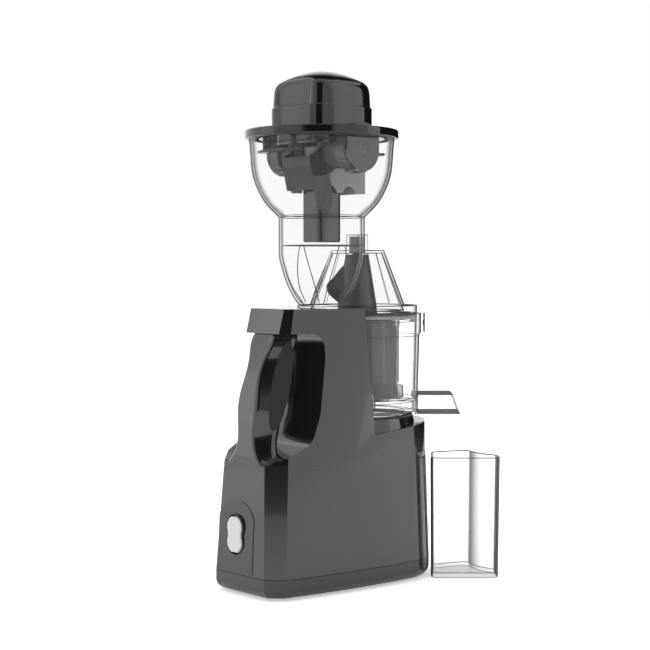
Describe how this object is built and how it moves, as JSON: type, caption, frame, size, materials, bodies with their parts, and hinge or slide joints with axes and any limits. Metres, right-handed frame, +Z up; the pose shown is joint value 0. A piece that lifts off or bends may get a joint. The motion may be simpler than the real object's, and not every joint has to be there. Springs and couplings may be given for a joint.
{
  "type": "cold press juicer",
  "caption": "Tall vertical juicer with a dark motor base and carrying handle, clear auger bowl, clear hopper with gate, lid and pusher, and a loose pulp cup",
  "frame": {"origin": "on the worktop under the drive shaft's axis, on the plane the rubber feet stand on", "axes": "+Z up, -X towards the switch end and handle, +X towards the bowl end, -Y the side the pulp duct leans to"},
  "size_m": [0.271, 0.1892, 0.5043],
  "materials": {
    "housing": "gloss",
    "skirt": "gloss",
    "foot_rubber": "matte",
    "grip_inlay": "matte",
    "switch_plate": "satin",
    "switch_trim": "satin",
    "rocker": "satin",
    "inner_plastic": "matte",
    "board": "satin",
    "screw_steel": "brushed",
    "can_steel": "satin",
    "core_iron": "matte",
    "gear_nylon": "satin",
    "bearing_brass": "satin",
    "clear": "gloss",
    "smoke": "gloss",
    "seal_silicone": "matte",
    "strainer_plastic": "satin",
    "screen_steel": "satin",
    "auger_plastic": "satin",
    "lid_plastic": "gloss"
  },
  "bodies": {
    "base": {"main_housing": "housing", "bottom_cover": "skirt", "rubber_feet": "foot_rubber", "handle_grip": "housing", "grip_inlays": "grip_inlay", "switch_panel": "switch_plate", "switch_bezel": "switch_trim", "switch_module": "inner_plastic", "cord_gland": "foot_rubber", "control_board": "board", "interlock_switch": "inner_plastic", "seat_ring": "foot_rubber", "housing_screws": "screw_steel", "motor_mounts": "foot_rubber", "motor_can": "can_steel", "motor_end_bell": "can_steel", "gearbox_plate": "can_steel", "gearbox_cover": "can_steel", "gearbox_screws": "screw_steel", "first_axle": "screw_steel", "second_axle": "screw_steel", "lower_bearing": "bearing_brass", "upper_bearing": "bearing_brass"},
    "power_switch": {"switch_rocker": "rocker"},
    "rotor": {"motor_rotor": "core_iron", "motor_shaft": "screw_steel", "cooling_fan": "inner_plastic", "motor_pinion": "screw_steel"},
    "first_reduction": {"first_gear": "gear_nylon"},
    "second_reduction": {"second_gear": "gear_nylon"},
    "output": {"drive_shaft": "screw_steel", "output_gear": "gear_nylon"},
    "bowl": {"juicing_bowl": "clear", "pulp_duct": "clear", "juice_spout": "clear", "shaft_seal": "seal_silicone", "strainer_frame": "strainer_plastic", "strainer_screen": "screen_steel"},
    "spout_cap": {"juice_cap": "lid_plastic"},
    "auger": {"auger_body": "auger_plastic", "auger_gear": "gear_nylon"},
    "idler_near_a": {"idler_a": "gear_nylon"},
    "idler_near_b": {"idler_b": "gear_nylon"},
    "wiper_cage": {"brush_frame": "strainer_plastic", "wiper_blades": "seal_silicone"},
    "feed_hopper": {"hopper": "clear", "hopper_mouth": "clear", "top_bush": "gear_nylon", "hopper_seal": "seal_silicone"},
    "feed_lid": {"hopper_lid": "lid_plastic", "feed_chute": "smoke", "splash_guards": "smoke"},
    "feed_gate": {"gate_flap": "smoke", "gate_hubs": "smoke", "gate_pins": "smoke"},
    "pusher": {"pusher_cap": "lid_plastic", "pusher_stem": "lid_plastic"},
    "cup": {"pulp_cup": "clear"}
  },
  "joints": [
    {"name": "switch_rock", "type": "hinge", "parent": "base", "child": "power_switch", "pos_m": [-0.1465, 0.0075, 0.058], "axis": [0, 1, 0], "range_deg": [-10, 10]},
    {"name": "motor_spin", "type": "hinge", "parent": "base", "child": "rotor", "pos_m": [-0.08825, 0, 0.057], "axis": [0, 0, 1], "continuous": true},
    {"name": "first_gear_spin", "type": "hinge", "parent": "base", "child": "first_reduction", "pos_m": [-0.06225, 0, 0.113], "axis": [0, 0, 1], "continuous": true},
    {"name": "second_gear_spin", "type": "hinge", "parent": "base", "child": "second_reduction", "pos_m": [-0.03625, 0, 0.122], "axis": [0, 0, 1], "continuous": true},
    {"name": "drive_spin", "type": "hinge", "parent": "base", "child": "output", "pos_m": [0, 0, 0.131], "axis": [0, 0, 1], "continuous": true},
    {"name": "bowl_lift", "type": "slide", "parent": "base", "child": "bowl", "axis": [0, 0, 1], "range_m": [0, 0.07]},
    {"name": "spout_cap_flip", "type": "hinge", "parent": "bowl", "child": "spout_cap", "pos_m": [0.04557, 0.07293, 0.204], "axis": [0.848, -0.5299, 0], "range_deg": [0, 90]},
    {"name": "auger_spin", "type": "hinge", "parent": "bowl", "child": "auger", "pos_m": [0, 0, 0.207], "axis": [0, 0, 1], "continuous": true},
    {"name": "idler_a_spin", "type": "hinge", "parent": "bowl", "child": "idler_near_a", "pos_m": [0.01874, 0.02081, 0.186], "axis": [0, 0, 1], "continuous": true},
    {"name": "idler_b_spin", "type": "hinge", "parent": "bowl", "child": "idler_near_b", "pos_m": [-0.01874, -0.02081, 0.186], "axis": [0, 0, 1], "continuous": true},
    {"name": "cage_spin", "type": "hinge", "parent": "bowl", "child": "wiper_cage", "pos_m": [0, 0, 0.186], "axis": [0, 0, 1], "continuous": true},
    {"name": "hopper_lift", "type": "slide", "parent": "bowl", "child": "feed_hopper", "axis": [0, 0, 1], "range_m": [0, 0.08]},
    {"name": "lid_lift", "type": "slide", "parent": "feed_hopper", "child": "feed_lid", "axis": [0, 0, 1], "range_m": [0, 0.09]},
    {"name": "gate_swing", "type": "hinge", "parent": "feed_lid", "child": "feed_gate", "pos_m": [-0.048, 0, 0.425], "axis": [0, 1, 0], "range_deg": [0, 15]},
    {"name": "pusher_lift", "type": "slide", "parent": "feed_lid", "child": "pusher", "axis": [0, 0, 1], "range_m": [0, 0.15]},
    {"name": "cup_slide", "type": "slide", "parent": "base", "child": "cup", "axis": [0.7431, -0.6691, 0], "range_m": [0, 0.12]}
  ],
  "couplings": [
    {"joint": "first_gear_spin", "follows": "motor_spin", "ratio": -0.3},
    {"joint": "second_gear_spin", "follows": "motor_spin", "ratio": 0.09},
    {"joint": "drive_spin", "follows": "motor_spin", "ratio": -0.028636},
    {"joint": "auger_spin", "follows": "motor_spin", "ratio": -0.028636},
    {"joint": "idler_a_spin", "follows": "motor_spin", "ratio": 0.038182},
    {"joint": "idler_b_spin", "follows": "motor_spin", "ratio": 0.038182},
    {"joint": "cage_spin", "follows": "motor_spin", "ratio": 0.011455}
  ]
}
